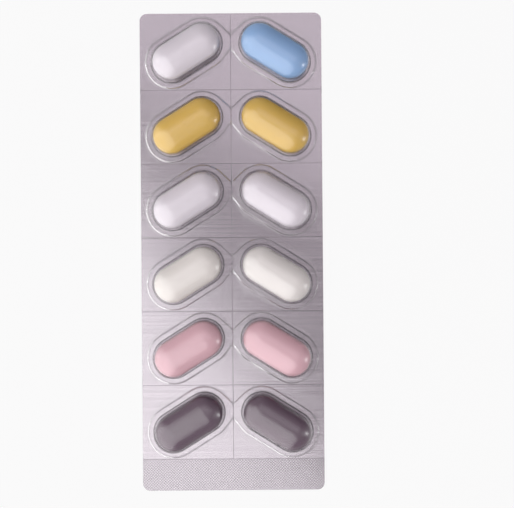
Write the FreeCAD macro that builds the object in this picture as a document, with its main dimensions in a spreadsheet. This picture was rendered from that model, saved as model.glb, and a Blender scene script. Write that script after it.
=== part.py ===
"""Blister pack of twelve oblong capsules in six rows of two, lying on its foil.

A clear film is formed into two columns of slanting pockets. Each pocket stands on a low raised collar,
and the two collars of a row run into each other across the middle of the card. The film's flat web is
sealed to a sheet of foil. Tear lines are scored into the film between the rows, above the sealed end
tab and down the middle. One capsule lies on the foil in each pocket.

Frame: millimetres, X across the card, Y along it towards the head, Z up. The origin is the middle of
the card on the foil's underside.
"""

import FreeCAD, Part
import math
import os

import Sketcher

V = FreeCAD.Vector
ROWS = 6
SIDES = (("left", -1), ("right", 1))

SIZES = {
    # card
    "card_width": 50.4,
    "corner_radius": 2.0,
    "foil_thickness": 0.04,
    "film_thickness": 0.25,
    "row_pitch": 20.5,
    "column_pitch": 24.4,
    "head_margin": 0.7,
    "tab_length": 8.7,
    # pocket, over the outside of the film; length and width are at the foot of the wall
    "pocket_length": 21.1,
    "pocket_width": 11.1,
    "pocket_height": 7.4,
    "pocket_tilt": 32.0,
    "wall_draft": 2.0,
    "crown_radius": 9.0,
    "shoulder_radius": 2.0,
    # collar round the pocket's foot
    "collar_offset": 1.8,
    "collar_rise": 0.35,
    "collar_slope": 45.0,
    # the bridge between the two collars of a row: its neck on the card's middle line, the neck's distance
    # towards the head from the row's middle, and the slopes at which its edges leave the collars
    "bridge_neck": 4.4,
    "bridge_shift": 3.1,
    "bridge_upper_angle": 43.0,
    "bridge_lower_angle": 52.0,
    # capsule
    "capsule_length": 20.0,
    "capsule_width": 10.1,
    "capsule_thickness": 6.6,
    "capsule_side_radius": 2.2,
    # tear lines
    "score_width": 0.3,
    "score_depth": 0.1,
    "score_inset": 0.8,
}

doc = FreeCAD.newDocument("blister_pack")
sheet = doc.addObject("Spreadsheet::Sheet", "dims")
for row, (alias, number) in enumerate(SIZES.items(), start=1):
    sheet.set(f"A{row}", alias)
    sheet.set(f"B{row}", str(number))
    sheet.setAlias(f"B{row}", alias)
doc.recompute()

# Sizes that follow from the driving ones, as expressions on the sheet.
CARD_LENGTH = f"(dims.head_margin + {ROWS} * dims.row_pitch + dims.tab_length)"
CARD_TOP = f"({CARD_LENGTH} / 2)"
TAB_LINE = f"({CARD_TOP} - dims.head_margin - {ROWS} * dims.row_pitch)"
FILM_TOP = "(dims.foil_thickness + dims.film_thickness)"
COLLAR_TOP = f"({FILM_TOP} + dims.collar_rise)"
FIRST_ROW = f"({CARD_TOP} - dims.head_margin - dims.row_pitch / 2)"
POCKET_STRAIGHT = "(dims.pocket_length - dims.pocket_width)"
CAPSULE_STRAIGHT = "(dims.capsule_length - dims.capsule_width)"


def value(expression):
    """The number that an expression on the sheet stands for."""
    return float(sheet.evalExpression(expression.replace("dims.", "")))


def origin_plane(body, role):
    """One of a body's own origin planes or axes."""
    return next(f for f in body.Origin.OriginFeatures if f.Role == role)


def new_body(name):
    """A body whose Label is the node's name."""
    body = doc.addObject("PartDesign::Body", name)
    body.Label = name
    return body


def new_sketch(body, name, role, offset=("0", "0", "0"), turn=None):
    """A sketch on an origin plane, moved by expressions in the plane's own x, y and normal.

    turn is (axis, expression): a turn in degrees about an axis in the plane's own directions.
    """
    sketch = body.newObject("Sketcher::SketchObject", name)
    sketch.AttachmentSupport = (origin_plane(body, role), [""])
    sketch.MapMode = "FlatFace"
    if turn:
        axis, angle = turn
        sketch.AttachmentOffset = FreeCAD.Placement(V(), FreeCAD.Rotation(V(*axis), value(angle)))
        sketch.setExpression("AttachmentOffset.Rotation.Angle", angle)
    for letter, expression in zip("xyz", offset):
        if expression != "0":
            sketch.setExpression(f"AttachmentOffset.Base.{letter}", expression)
    return sketch


def constrain(sketch, kind, *where, to=None, name=None):
    """Adds a constraint. With to, its size is bound to that expression under that name."""
    if to is None:
        return sketch.addConstraint(Sketcher.Constraint(kind, *where))
    number = value(to)
    if kind == "Angle":
        number = math.radians(number)
    index = sketch.addConstraint(Sketcher.Constraint(kind, *where, number))
    sketch.renameConstraint(index, name)
    sketch.setExpression(f"Constraints.{name}", to)
    return index


def card_outline(body, level):
    """A sketch of the card's outline, a rectangle with rounded corners, at a height."""
    sketch = new_sketch(body, f"{body.Name}_outline", "XY_Plane", ("0", "0", level))
    half_x = value("dims.card_width / 2")
    half_y = value(f"{CARD_LENGTH} / 2")
    radius = value("dims.corner_radius")
    arcs = []
    for quarter, (sx, sy) in enumerate(((1, 1), (-1, 1), (-1, -1), (1, -1))):
        middle = V(sx * (half_x - radius), sy * (half_y - radius), 0)
        start = quarter * math.pi / 2
        circle = Part.Circle(middle, V(0, 0, 1), radius)
        arcs.append(sketch.addGeometry(Part.ArcOfCircle(circle, start, start + math.pi / 2)))
    lines = []
    for quarter, arc in enumerate(arcs):
        following = arcs[(quarter + 1) % 4]
        ends = (sketch.getPoint(arc, 2), sketch.getPoint(following, 1))
        line = sketch.addGeometry(Part.LineSegment(*ends))
        lines.append(line)
        constrain(sketch, "Tangent", arc, 2, line, 1)
        constrain(sketch, "Tangent", line, 2, following, 1)
    for line, kind in zip(lines, ("Horizontal", "Vertical", "Horizontal", "Vertical")):
        constrain(sketch, kind, line)
    for arc in arcs[1:]:
        constrain(sketch, "Equal", arcs[0], arc)
    constrain(sketch, "Radius", arcs[0], to="dims.corner_radius", name="corner")
    constrain(sketch, "Symmetric", arcs[0], 3, arcs[2], 3, -1, 1)
    to_across, to_along = (f"{side} - 2 * dims.corner_radius" for side in ("dims.card_width", CARD_LENGTH))
    constrain(sketch, "DistanceX", arcs[1], 3, arcs[0], 3, to=to_across, name="across")
    constrain(sketch, "DistanceY", arcs[3], 3, arcs[0], 3, to=to_along, name="along")
    return sketch


def capsule_profile(sketch, full):
    """A capsule's section across its length: an oval of flatter arcs over and under, and a round side.

    full is the whole section, for the straight middle, and otherwise half of it, for the round ends.
    """
    width, height = "(dims.capsule_width / 2)", "(dims.capsule_thickness / 2)"
    side = "dims.capsule_side_radius"
    to_cup = f"(({width} - {side}) ^ 2 + {height} ^ 2 - {side} ^ 2) / (2 * ({height} - {side}))"
    cup_r, side_r, side_x = value(to_cup), value(side), value(f"{width} - {side}")
    cup_y = value(height) - cup_r
    edge = math.atan2(-cup_y, side_x)
    normal = V(0, 0, 1)
    stop = math.pi - edge if full else math.pi / 2
    over = sketch.addGeometry(Part.ArcOfCircle(Part.Circle(V(0, cup_y, 0), normal, cup_r), edge, stop))
    under = sketch.addGeometry(Part.ArcOfCircle(Part.Circle(V(0, -cup_y, 0), normal, cup_r), -stop, -edge))
    right = sketch.addGeometry(Part.ArcOfCircle(Part.Circle(V(side_x, 0, 0), normal, side_r), -edge, edge))
    constrain(sketch, "Tangent", right, 2, over, 1)
    constrain(sketch, "Tangent", under, 2, right, 1)
    constrain(sketch, "PointOnObject", right, 3, -1)
    constrain(sketch, "PointOnObject", over, 3, -2)
    constrain(sketch, "PointOnObject", under, 3, -2)
    constrain(sketch, "Radius", right, to=side, name="side")
    constrain(sketch, "Radius", over, to=to_cup, name="cup")
    constrain(sketch, "Equal", over, under)
    constrain(sketch, "DistanceX", -1, 1, right, 3, to=f"{width} - {side}", name="side_centre")
    if full:
        circle = Part.Circle(V(-side_x, 0, 0), normal, side_r)
        left = sketch.addGeometry(Part.ArcOfCircle(circle, math.pi - edge, math.pi + edge))
        constrain(sketch, "Coincident", over, 2, left, 1)
        constrain(sketch, "Coincident", left, 2, under, 1)
        constrain(sketch, "Horizontal", over, 1, over, 2)
        constrain(sketch, "Horizontal", under, 1, under, 2)
        constrain(sketch, "Equal", right, left)
    else:
        top = value(height)
        axis = sketch.addGeometry(Part.LineSegment(V(0, top, 0), V(0, -top, 0)))
        constrain(sketch, "Coincident", over, 2, axis, 1)
        constrain(sketch, "Coincident", axis, 2, under, 1)
        constrain(sketch, "Vertical", axis)
        constrain(sketch, "PointOnObject", axis, 1, -2)
    return sketch


def pocket_profile(sketch, full, inset, foot):
    """A pocket's section across its length: sloping walls, round shoulders and an arched crown.

    inset is how far the section lies inside the film's outer face, and foot the height it starts at.
    full is the whole section, for the straight middle, and otherwise half of it, for the round ends.
    """
    to_half = (
        f"dims.pocket_width / 2 - ({inset}) / cos(dims.wall_draft)"
        f" + ({COLLAR_TOP} - ({foot})) * tan(dims.wall_draft)"
    )
    to_top = f"dims.foil_thickness + dims.pocket_height - ({inset})"
    to_crown = f"dims.crown_radius - ({inset})"
    to_shoulder = f"dims.shoulder_radius - ({inset})"
    half, top, crown_r, shoulder_r = (value(e) for e in (to_half, to_top, to_crown, to_shoulder))
    base = value(foot)
    draft = math.radians(value("dims.wall_draft"))
    middle = top - crown_r
    # The shoulder's centre lies one radius inside the wall and inside the crown.
    along = V(-math.sin(draft), math.cos(draft), 0)
    start = V(half - shoulder_r * math.cos(draft), base - shoulder_r * math.sin(draft), 0)
    to_start = start - V(0, middle, 0)
    reach = crown_r - shoulder_r
    dot = to_start.dot(along)
    step = -dot + math.sqrt(dot**2 - to_start.dot(to_start) + reach**2)
    centre = start + along * step
    edge = math.atan2(centre.y - middle, centre.x)
    wall_top = centre + V(math.cos(draft), math.sin(draft), 0) * shoulder_r

    normal = V(0, 0, 1)
    crown_circle = Part.Circle(V(0, middle, 0), normal, crown_r)
    crown = sketch.addGeometry(Part.ArcOfCircle(crown_circle, edge, math.pi - edge if full else math.pi / 2))
    shoulder = sketch.addGeometry(Part.ArcOfCircle(Part.Circle(centre, normal, shoulder_r), draft, edge))
    wall = sketch.addGeometry(Part.LineSegment(V(half, base, 0), wall_top))
    floor = sketch.addGeometry(Part.LineSegment(V(-half if full else 0, base, 0), V(half, base, 0)))
    constrain(sketch, "Coincident", floor, 2, wall, 1)
    constrain(sketch, "Tangent", wall, 2, shoulder, 1)
    constrain(sketch, "Tangent", shoulder, 2, crown, 1)
    constrain(sketch, "PointOnObject", crown, 3, -2)
    constrain(sketch, "DistanceX", -1, 1, wall, 1, to=to_half, name="half_width")
    constrain(sketch, "Angle", -2, 1, wall, 1, to="dims.wall_draft", name="draft")
    constrain(sketch, "Radius", crown, to=to_crown, name="crown")
    constrain(sketch, "Radius", shoulder, to=to_shoulder, name="shoulder")
    constrain(sketch, "DistanceY", -1, 1, crown, 3, to=f"{to_top} - ({to_crown})", name="crown_centre")
    if foot == "0":
        constrain(sketch, "PointOnObject", wall, 1, -1)
    else:
        constrain(sketch, "DistanceY", -1, 1, wall, 1, to=foot, name="foot")
    if full:
        mirrored = Part.Circle(V(-centre.x, centre.y, 0), normal, shoulder_r)
        other_shoulder = sketch.addGeometry(Part.ArcOfCircle(mirrored, math.pi - edge, math.pi - draft))
        other_wall = sketch.addGeometry(Part.LineSegment(V(-wall_top.x, wall_top.y, 0), V(-half, base, 0)))
        constrain(sketch, "Tangent", crown, 2, other_shoulder, 1)
        constrain(sketch, "Tangent", other_shoulder, 2, other_wall, 1)
        constrain(sketch, "Coincident", other_wall, 2, floor, 1)
        constrain(sketch, "Equal", shoulder, other_shoulder)
        constrain(sketch, "Equal", wall, other_wall)
        constrain(sketch, "Symmetric", floor, 1, floor, 2, -2)
    else:
        axis = sketch.addGeometry(Part.LineSegment(V(0, top, 0), V(0, base, 0)))
        constrain(sketch, "Coincident", crown, 2, axis, 1)
        constrain(sketch, "Coincident", axis, 2, floor, 1)
        constrain(sketch, "Horizontal", floor)
        constrain(sketch, "Vertical", axis)
        constrain(sketch, "PointOnObject", axis, 1, -2)
    return sketch


def collar_outline(sketch, inset):
    """The outline of a row's two collars and the bridge between them, about the middle of the card.

    Each collar is a slot round its pocket. The bridge's edges leave the slots' inner ends and meet on the
    card's middle line. inset is how far the outline lies inside the foot of the collars' outer face.
    """
    to_radius = f"dims.pocket_width / 2 + dims.collar_offset - ({inset})"
    across, along = (f"{POCKET_STRAIGHT} / 2 * {turn}(dims.pocket_tilt)" for turn in ("cos", "sin"))
    to_inner = (f"dims.column_pitch / 2 - {across}", f"{FIRST_ROW} + {along}")
    to_outer = (f"dims.column_pitch / 2 + {across}", f"{FIRST_ROW} - {along}")
    to_neck = f"{FIRST_ROW} + dims.bridge_shift"
    to_over = f"{to_neck} + dims.bridge_neck / 2 - ({inset}) / cos(dims.bridge_upper_angle)"
    to_under = f"{to_neck} - dims.bridge_neck / 2 + ({inset}) / cos(dims.bridge_lower_angle)"
    to_over_leave = f"{to_inner[0]} - ({to_radius}) * sin(dims.bridge_upper_angle)"
    to_under_leave = f"{to_inner[0]} - ({to_radius}) * sin(dims.bridge_lower_angle)"

    radius = value(to_radius)
    inner, outer = (V(value(x), value(y), 0) for x, y in (to_inner, to_outer))
    over_neck, under_neck = V(0, value(to_over), 0), V(0, value(to_under), 0)
    tilt, upper, lower = (
        math.radians(value(f"dims.{angle}"))
        for angle in ("pocket_tilt", "bridge_upper_angle", "bridge_lower_angle")
    )
    right = math.pi / 2

    def point(centre, angle):
        return centre + V(math.cos(angle), math.sin(angle), 0) * radius

    def mirrored(at):
        return V(-at.x, at.y, 0)

    def half_outline(name, flip):
        """One column's half, from the neck's upper point round the pocket to its lower point."""
        def arc(centre, start, stop):
            if flip:
                centre, start, stop = mirrored(centre), math.pi - stop, math.pi - start
            return sketch.addGeometry(Part.ArcOfCircle(Part.Circle(centre, V(0, 0, 1), radius), start, stop))

        def line(start, stop):
            ends = (mirrored(start), mirrored(stop)) if flip else (start, stop)
            return sketch.addGeometry(Part.LineSegment(*ends))

        def across_from_middle(label, geometry, vertex, to):
            ends = (geometry, vertex, -1, 1) if flip else (-1, 1, geometry, vertex)
            constrain(sketch, "DistanceX", *ends, to=to, name=f"{name}_{label}")

        # An arc runs anticlockwise, so on the mirrored half its two ends change places.
        first, last = (2, 1) if flip else (1, 2)
        over_bridge = line(over_neck, point(inner, right + upper))
        over_end = arc(inner, right - tilt, right + upper)
        over_side = line(point(inner, right - tilt), point(outer, right - tilt))
        tail = arc(outer, -right - tilt, right - tilt)
        under_side = line(point(outer, -right - tilt), point(inner, -right - tilt))
        under_end = arc(inner, 3 * right - lower, 3 * right - tilt)
        under_bridge = line(point(inner, 3 * right - lower), under_neck)
        constrain(sketch, "Coincident", over_bridge, 2, over_end, last)
        constrain(sketch, "Tangent", over_end, first, over_side, 1)
        constrain(sketch, "Tangent", over_side, 2, tail, last)
        constrain(sketch, "Tangent", tail, first, under_side, 1)
        constrain(sketch, "Tangent", under_side, 2, under_end, last)
        constrain(sketch, "Coincident", under_end, first, under_bridge, 1)
        constrain(sketch, "Coincident", over_end, 3, under_end, 3)
        constrain(sketch, "Equal", over_end, under_end)
        constrain(sketch, "Equal", over_end, tail)
        constrain(sketch, "Radius", over_end, to=to_radius, name=f"{name}_radius")
        constrain(sketch, "DistanceY", -1, 1, over_end, 3, to=to_inner[1], name=f"{name}_inner_y")
        constrain(sketch, "DistanceY", -1, 1, tail, 3, to=to_outer[1], name=f"{name}_outer_y")
        across_from_middle("inner_x", over_end, 3, to_inner[0])
        across_from_middle("outer_x", tail, 3, to_outer[0])
        across_from_middle("over_leave", over_end, last, to_over_leave)
        across_from_middle("under_leave", under_end, first, to_under_leave)
        return over_bridge, under_bridge

    over_right, under_right = half_outline("right", False)
    over_left, under_left = half_outline("left", True)
    constrain(sketch, "Coincident", over_right, 1, over_left, 1)
    constrain(sketch, "Coincident", under_right, 2, under_left, 2)
    constrain(sketch, "PointOnObject", over_right, 1, -2)
    constrain(sketch, "PointOnObject", under_right, 2, -2)
    constrain(sketch, "DistanceY", -1, 1, over_right, 1, to=to_over, name="neck_over")
    constrain(sketch, "DistanceY", -1, 1, under_right, 2, to=to_under, name="neck_under")
    return sketch


def form(body, kind, name, sketch, bindings, **settings):
    """Add a sketch-based feature; bindings maps its properties to expressions on the sheet."""
    feature = body.newObject(f"PartDesign::{kind}", name)
    feature.Profile = sketch
    for setting, choice in settings.items():
        setattr(feature, setting, choice)
    for setting, expression in bindings.items():
        feature.setExpression(setting, expression)
    doc.recompute()
    return feature


def repeat_rows(body, name, originals):
    """Repeat features for every row, from the head towards the tab."""
    feature = body.newObject("PartDesign::LinearPattern", name)
    feature.Originals = originals
    feature.Direction = (origin_plane(body, "Y_Axis"), [""])
    feature.Reversed = True
    feature.Occurrences = ROWS
    feature.setExpression("Length", f"{ROWS - 1} * dims.row_pitch")
    body.Tip = feature
    doc.recompute()
    return feature


def pocket_form(body, name, side, kinds, inset, foot):
    """One pocket's form in the first row: a straight middle and two round ends.

    kinds are the features for the middle and for the ends.
    """
    label, sign = side
    turn = ((0, 1, 0), f"{-sign} * dims.pocket_tilt")
    half = f"{POCKET_STRAIGHT} / 2"
    middle_x = f"{sign} * dims.column_pitch / 2"
    middle_kind, end_kind = kinds

    def station(part, along):
        run = f"{along} * {half} * cos(dims.pocket_tilt)"
        climb = f"{-sign * along} * {half} * sin(dims.pocket_tilt)"
        offset = (f"{FIRST_ROW} + {climb}", "0", f"{middle_x} + {run}")
        return new_sketch(body, f"{name}_{label}_{part}_section", "YZ_Plane", offset, turn)

    section = pocket_profile(station("middle", 0), True, inset, foot)
    length = {"Length": POCKET_STRAIGHT}
    features = [form(body, middle_kind, f"{name}_{label}_middle", section, length, Midplane=True)]
    for part, along in (("low_x", -1), ("high_x", 1)):
        section = pocket_profile(station(part, along), False, inset, foot)
        end = form(
            body, end_kind, f"{name}_{label}_{part}", section, {},
            ReferenceAxis=(section, ["V_Axis"]), Angle=180.0, Reversed=along > 0,
        )
        features.append(end)
    return features


# The foil.
foil = new_body("lidding_foil")
form(foil, "Pad", "foil_sheet", card_outline(foil, "0"), {"Length": "dims.foil_thickness"})

# The film: the outside of the collars and pockets is added to the web, then the inside is cut out.
film = new_body("blister_film")
form(film, "Pad", "web", card_outline(film, "dims.foil_thickness"), {"Length": "dims.film_thickness"})

rise = {"Length": "dims.collar_rise", "TaperAngle": "-dims.collar_slope"}
outside = collar_outline(new_sketch(film, "collar_outside", "XY_Plane", ("0", "0", FILM_TOP)), "0")
raised = [form(film, "Pad", "collar", outside, rise)]
for side in SIDES:
    raised += pocket_form(film, "pocket", side, ("Pad", "Revolution"), "0", "dims.foil_thickness")
repeat_rows(film, "raised_rows", raised)

# The slope's inner face lies one film thickness inside its outer face.
slope_inset = "dims.film_thickness * tan(45 - dims.collar_slope / 2)"
underside = new_sketch(film, "collar_inside", "XY_Plane", ("0", "0", "dims.foil_thickness"))
inside = collar_outline(underside, slope_inset)
hollow = [form(film, "Pocket", "collar_recess", inside, rise, Reversed=True)]
for side in SIDES:
    hollow += pocket_form(film, "cavity", side, ("Pocket", "Groove"), "dims.film_thickness", "0")
repeat_rows(film, "hollow_rows", hollow)


def score(body, name, role, offset, level, length, **settings):
    """Cut a V-shaped score whose mouth lies at a height on an upright plane of the body."""
    sketch = new_sketch(body, f"{name}_section", role, offset)
    half, depth, top = (value(e) for e in ("dims.score_width / 2", "dims.score_depth", level))
    corners = (V(-half, top, 0), V(0, top - depth, 0), V(half, top, 0))
    edges = [sketch.addGeometry(Part.LineSegment(corners[k], corners[(k + 1) % 3])) for k in range(3)]
    for k in range(3):
        constrain(sketch, "Coincident", edges[k], 2, edges[(k + 1) % 3], 1)
    constrain(sketch, "PointOnObject", edges[0], 2, -2)
    constrain(sketch, "Symmetric", edges[2], 1, edges[2], 2, -2)
    constrain(sketch, "DistanceX", edges[2], 2, edges[2], 1, to="dims.score_width", name="width")
    constrain(sketch, "DistanceY", edges[0], 2, edges[0], 1, to="dims.score_depth", name="depth")
    constrain(sketch, "DistanceY", -1, 1, edges[0], 1, to=level, name="level")
    return form(body, "Pocket", name, sketch, {"Length": length}, **settings)


# Tear lines, V-shaped scores in the film: one down the middle, over the web and over the bridges alike,
# and one below each row.
middle_run = f"{CARD_TOP} - dims.score_inset - {TAB_LINE}"
for name, level in (("middle_score", FILM_TOP), ("bridge_score", COLLAR_TOP)):
    score(film, name, "XZ_Plane", ("0", "0", f"-{TAB_LINE}"), level, middle_run)
below_row = (f"{FIRST_ROW} - dims.row_pitch / 2", "0", "0")
across = score(film, "row_score", "YZ_Plane", below_row, FILM_TOP, "dims.card_width", Midplane=True)
repeat_rows(film, "row_scores", [across])

# The capsules, each lying along its pocket on the foil.
capsules = []
for row in range(ROWS):
    for label, sign in SIDES:
        capsule = new_body(f"capsule_row{row + 1}_{label}")
        section = capsule_profile(new_sketch(capsule, f"{capsule.Name}_middle", "YZ_Plane"), True)
        form(capsule, "Pad", f"{capsule.Name}_straight", section, {"Length": CAPSULE_STRAIGHT}, Midplane=True)
        for part, along in (("tail", -1), ("nose", 1)):
            offset = ("0", "0", f"{along} * {CAPSULE_STRAIGHT} / 2")
            section = new_sketch(capsule, f"{capsule.Name}_{part}_section", "YZ_Plane", offset)
            capsule_profile(section, False)
            form(
                capsule, "Revolution", f"{capsule.Name}_{part}", section, {},
                ReferenceAxis=(section, ["V_Axis"]), Angle=180.0, Reversed=along > 0,
            )
        capsule.Placement.Rotation = FreeCAD.Rotation(V(0, 0, 1), 0)
        capsule.setExpression("Placement.Base.x", f"{sign} * dims.column_pitch / 2")
        capsule.setExpression("Placement.Base.y", f"{FIRST_ROW} - {row} * dims.row_pitch")
        capsule.setExpression("Placement.Base.z", "dims.foil_thickness + dims.capsule_thickness / 2")
        capsule.setExpression("Placement.Rotation.Angle", f"{-sign} * dims.pocket_tilt")
        capsules.append(capsule)

doc.recompute()

for item in doc.Objects:
    if "Invalid" in item.State or "Error" in item.State:
        raise RuntimeError(f"{item.Label} did not compute: {item.State}")

os.makedirs("parts", exist_ok=True)
for body in (foil, film, *capsules):
    shape = body.Shape
    if shape.isNull() or not shape.isValid() or len(shape.Solids) != 1:
        raise RuntimeError(f"{body.Label} is not one sound solid")
    shape.exportStep(f"parts/{body.Label}.step")
    print(f"{body.Label}: {shape.Volume:.2f} mm3")
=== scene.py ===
"""A blister pack of twelve oblong capsules: film, foil, capsules, and the studio round them.

Lengths are millimetres in the pack's classes, and metres in the finishes and the studio.
"""

import logging
import math
from dataclasses import dataclass, field
from enum import Enum
from typing import Sequence, Union

import bmesh
import bpy
import numpy as np
from mathutils import Euler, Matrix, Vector


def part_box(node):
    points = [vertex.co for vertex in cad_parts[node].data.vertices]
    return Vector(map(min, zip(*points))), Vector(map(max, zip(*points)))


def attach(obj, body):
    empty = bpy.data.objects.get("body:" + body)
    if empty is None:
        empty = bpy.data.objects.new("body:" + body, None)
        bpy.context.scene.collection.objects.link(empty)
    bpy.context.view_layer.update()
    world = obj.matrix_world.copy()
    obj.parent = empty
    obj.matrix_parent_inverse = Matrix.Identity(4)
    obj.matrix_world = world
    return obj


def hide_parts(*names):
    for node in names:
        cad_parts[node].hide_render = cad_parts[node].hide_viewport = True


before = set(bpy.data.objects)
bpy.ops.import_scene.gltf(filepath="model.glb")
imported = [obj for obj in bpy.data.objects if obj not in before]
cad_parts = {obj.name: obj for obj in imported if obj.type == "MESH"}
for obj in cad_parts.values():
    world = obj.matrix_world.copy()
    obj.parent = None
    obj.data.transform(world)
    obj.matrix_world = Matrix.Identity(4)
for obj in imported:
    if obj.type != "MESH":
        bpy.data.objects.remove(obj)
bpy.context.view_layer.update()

LOG = logging.getLogger("blister_pack")
Number = Union[float, int]
Array = np.ndarray
Pair = tuple[float, float]
Colour = tuple[float, float, float]

MM = 0.001  # metres in a millimetre
SHARP_ANGLE = math.radians(50)  # an edge that turns further than this stays sharp
ON_LINE = 1e-6  # a point nearer to a line than this, in millimetres, lies on it
SQUARE_RAY = 1e-9  # a ray that gains less than this on an axis runs square to it
# root_bend and tear_line mark where the film gets painted shade, and collar_slope marks where it is hazier
# and glossier.
MARKS = ("root_bend", "collar_slope", "tear_line")  # what the film's mesh tells its material
PURE_WHITE: Colour = (1.0, 1.0, 1.0)


class Column(Enum):
    """The pack's two columns of pockets, by the sign of X they stand on."""

    LEFT = -1
    RIGHT = 1


class Skin(Enum):
    """The film's two faces."""

    OUTER = "outer"
    INNER = "inner"


ROUND_STEPS = {Skin.OUTER: (8, 10), Skin.INNER: (4, 5)}  # steps in a pocket's crown and shoulder
ROOT_STEPS = {Skin.OUTER: 6, Skin.INNER: 3}  # steps in the root's arc
SLOPE_RINGS = {Skin.OUTER: 9, Skin.INNER: 7}  # rings over the collar's slope
WEB_PARTS = {Skin.OUTER: (1 / 3, 2 / 3, 1.0), Skin.INNER: (0.5,)}  # the web's rings, along each ray


# ----------------------------------------
# Mesh making
# ----------------------------------------


def smooth_step(t: Array) -> Array:
    """The curve 3t^2 - 2t^3, which rises from 0 to 1 with level ends.

    Args:
        t: positions, held between 0 and 1.

    Returns:
        The curve's heights.
    """
    t = np.clip(t, 0.0, 1.0)
    return t * t * (3.0 - 2.0 * t)


def ring_faces(rings: int, around: int, first: int, flip: bool) -> Array:
    """Quads between each ring of a closed grid and the next, facing up where rings grow anticlockwise.

    Args:
        rings: how many rings the grid has.
        around: points on each ring.
        first: index of the grid's first vertex in the whole mesh.
        flip: True turns the faces over.

    Returns:
        An array of four vertex indices a row.
    """
    ring, step = np.meshgrid(np.arange(rings - 1), np.arange(around), indexing="ij")
    ring, step = ring.ravel(), step.ravel()
    following = (step + 1) % around
    near, far = ring * around, (ring + 1) * around
    quads = np.stack((near + step, far + step, far + following, near + following), axis=1)
    return first + (quads[:, ::-1] if flip else quads)


@dataclass
class PieceMesh:
    """Vertices and faces gathered from several grids, in millimetres, before they are welded."""

    points: list[Array] = field(default_factory=list)
    marks: list[Array] = field(default_factory=list)
    quads: list[Array] = field(default_factory=list)
    polygons: list[list[int]] = field(default_factory=list)
    count: int = 0

    def add(self, points: Array, marks: Array | None = None) -> int:
        """Add points of shape (..., 3), with marks alike or none, and return the first's index."""
        first = self.count
        self.points.append(points.reshape(-1, 3))
        self.marks.append(np.zeros_like(self.points[-1]) if marks is None else marks.reshape(-1, 3))
        self.count += self.points[-1].shape[0]
        return first

    def add_rings(self, grid: Array, flip: bool, marks: Array | None = None) -> int:
        """Add a closed grid of shape (rings, around, 3) with its faces and return its first index."""
        first = self.add(grid, marks)
        self.quads.append(ring_faces(grid.shape[0], grid.shape[1], first, flip))
        return first

    def add_strip(self, upper: Array, lower: Array) -> None:
        """Add quads between two rows of vertex indices of the same length."""
        self.quads.append(np.stack((upper[:-1], lower[:-1], lower[1:], upper[1:]), axis=1))

    def to_object(self, name: str, weld: float = 0.002) -> bpy.types.Object:
        """Weld the grids into one mesh, smooth it and link it.

        Args:
            name: the piece's name.
            weld: points nearer to each other than this, in millimetres, become one.

        Returns:
            The linked object, at the origin.
        """
        points = np.concatenate(self.points) * MM
        faces = [tuple(quad) for quad in np.concatenate(self.quads).tolist()] + self.polygons
        mesh = bpy.data.meshes.new(name)
        mesh.from_pydata(points, [], faces)
        marks = np.concatenate(self.marks)
        if marks.any():
            for number, label in enumerate(MARKS):
                layer = mesh.attributes.new(label, "FLOAT", "POINT")
                layer.data.foreach_set("value", marks[:, number].astype(np.float32))
        sheet = bmesh.new()
        sheet.from_mesh(mesh)
        bmesh.ops.remove_doubles(sheet, verts=sheet.verts, dist=weld * MM)
        bmesh.ops.recalc_face_normals(sheet, faces=sheet.faces)
        for face in sheet.faces:
            face.smooth = True
        for edge in sheet.edges:
            edge.smooth = edge.calc_face_angle(0.0) < SHARP_ANGLE
        sheet.to_mesh(mesh)
        sheet.free()
        piece = bpy.data.objects.new(name, mesh)
        bpy.context.scene.collection.objects.link(piece)
        return piece


@dataclass(frozen=True)
class Stadium:
    """The oblong that pockets and capsules share, as rays square to a straight spine and round its ends.

    The rays run anticlockwise: the outer end, the side nearer the head, the inner end, the other side. It is
    drawn for the right column, where the outer end lies lower; the left column mirrors it.
    """

    half_spine: float
    tilt: float
    side_steps: int
    cap_angles: tuple[tuple[float, ...], tuple[float, ...]]

    def rays(self) -> tuple[Array, Array]:
        """Where each ray starts on the spine, and which way it points.

        Each end's rays fan out from the spine's end at the angles in cap_angles, measured from the spine's
        outer direction. Each side's rays start at even steps along the spine.

        Returns:
            Starts and unit directions, each of shape (rays, 2).
        """
        tilt = math.radians(self.tilt)
        along = np.array((math.cos(tilt), -math.sin(tilt)))
        outer, inner = (np.radians(np.array(angles)) for angles in self.cap_angles)
        run = np.linspace(1.0, -1.0, self.side_steps + 1)[1:-1]
        starts = np.concatenate((np.ones_like(outer), run, -np.ones_like(inner), -run))
        square = np.full_like(run, math.pi / 2)
        angles = np.concatenate((outer, square, inner, -square))
        directions = np.stack((np.cos(angles - tilt), np.sin(angles - tilt)), axis=1)
        return starts[:, None] * self.half_spine * along, directions

    def sweep(self, reach: Array, height: Array, centre: Sequence[float]) -> Array:
        """Carry a profile round the oblong: point = spine start + ray direction * reach, at its height.

        Args:
            reach: the profile's distances from the spine.
            height: the profile's heights.
            centre: the oblong's middle, X and Y.

        Returns:
            A grid of shape (profile points, rays, 3).
        """
        starts, directions = self.rays()
        plan = np.asarray(centre) + starts[None] + directions[None] * reach[:, None, None]
        level = np.broadcast_to(height[:, None, None], plan.shape[:2] + (1,))
        return np.concatenate((plan, level), axis=2)


def arc(centre: Pair, radius: float, start: float, stop: float, steps: int) -> Array:
    """Points centre + radius * (cos a, sin a) with the angle a at even steps, ends included.

    Args:
        centre: the arc's centre, as reach and height.
        radius: its radius.
        start: the first angle in degrees.
        stop: the last angle in degrees.
        steps: how many steps lie between them.

    Returns:
        An array of shape (steps + 1, 2).
    """
    angle = np.radians(np.linspace(start, stop, steps + 1))
    return np.stack((centre[0] + radius * np.cos(angle), centre[1] + radius * np.sin(angle)), axis=1)


# ----------------------------------------
# The pack's pieces
# ----------------------------------------


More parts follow.
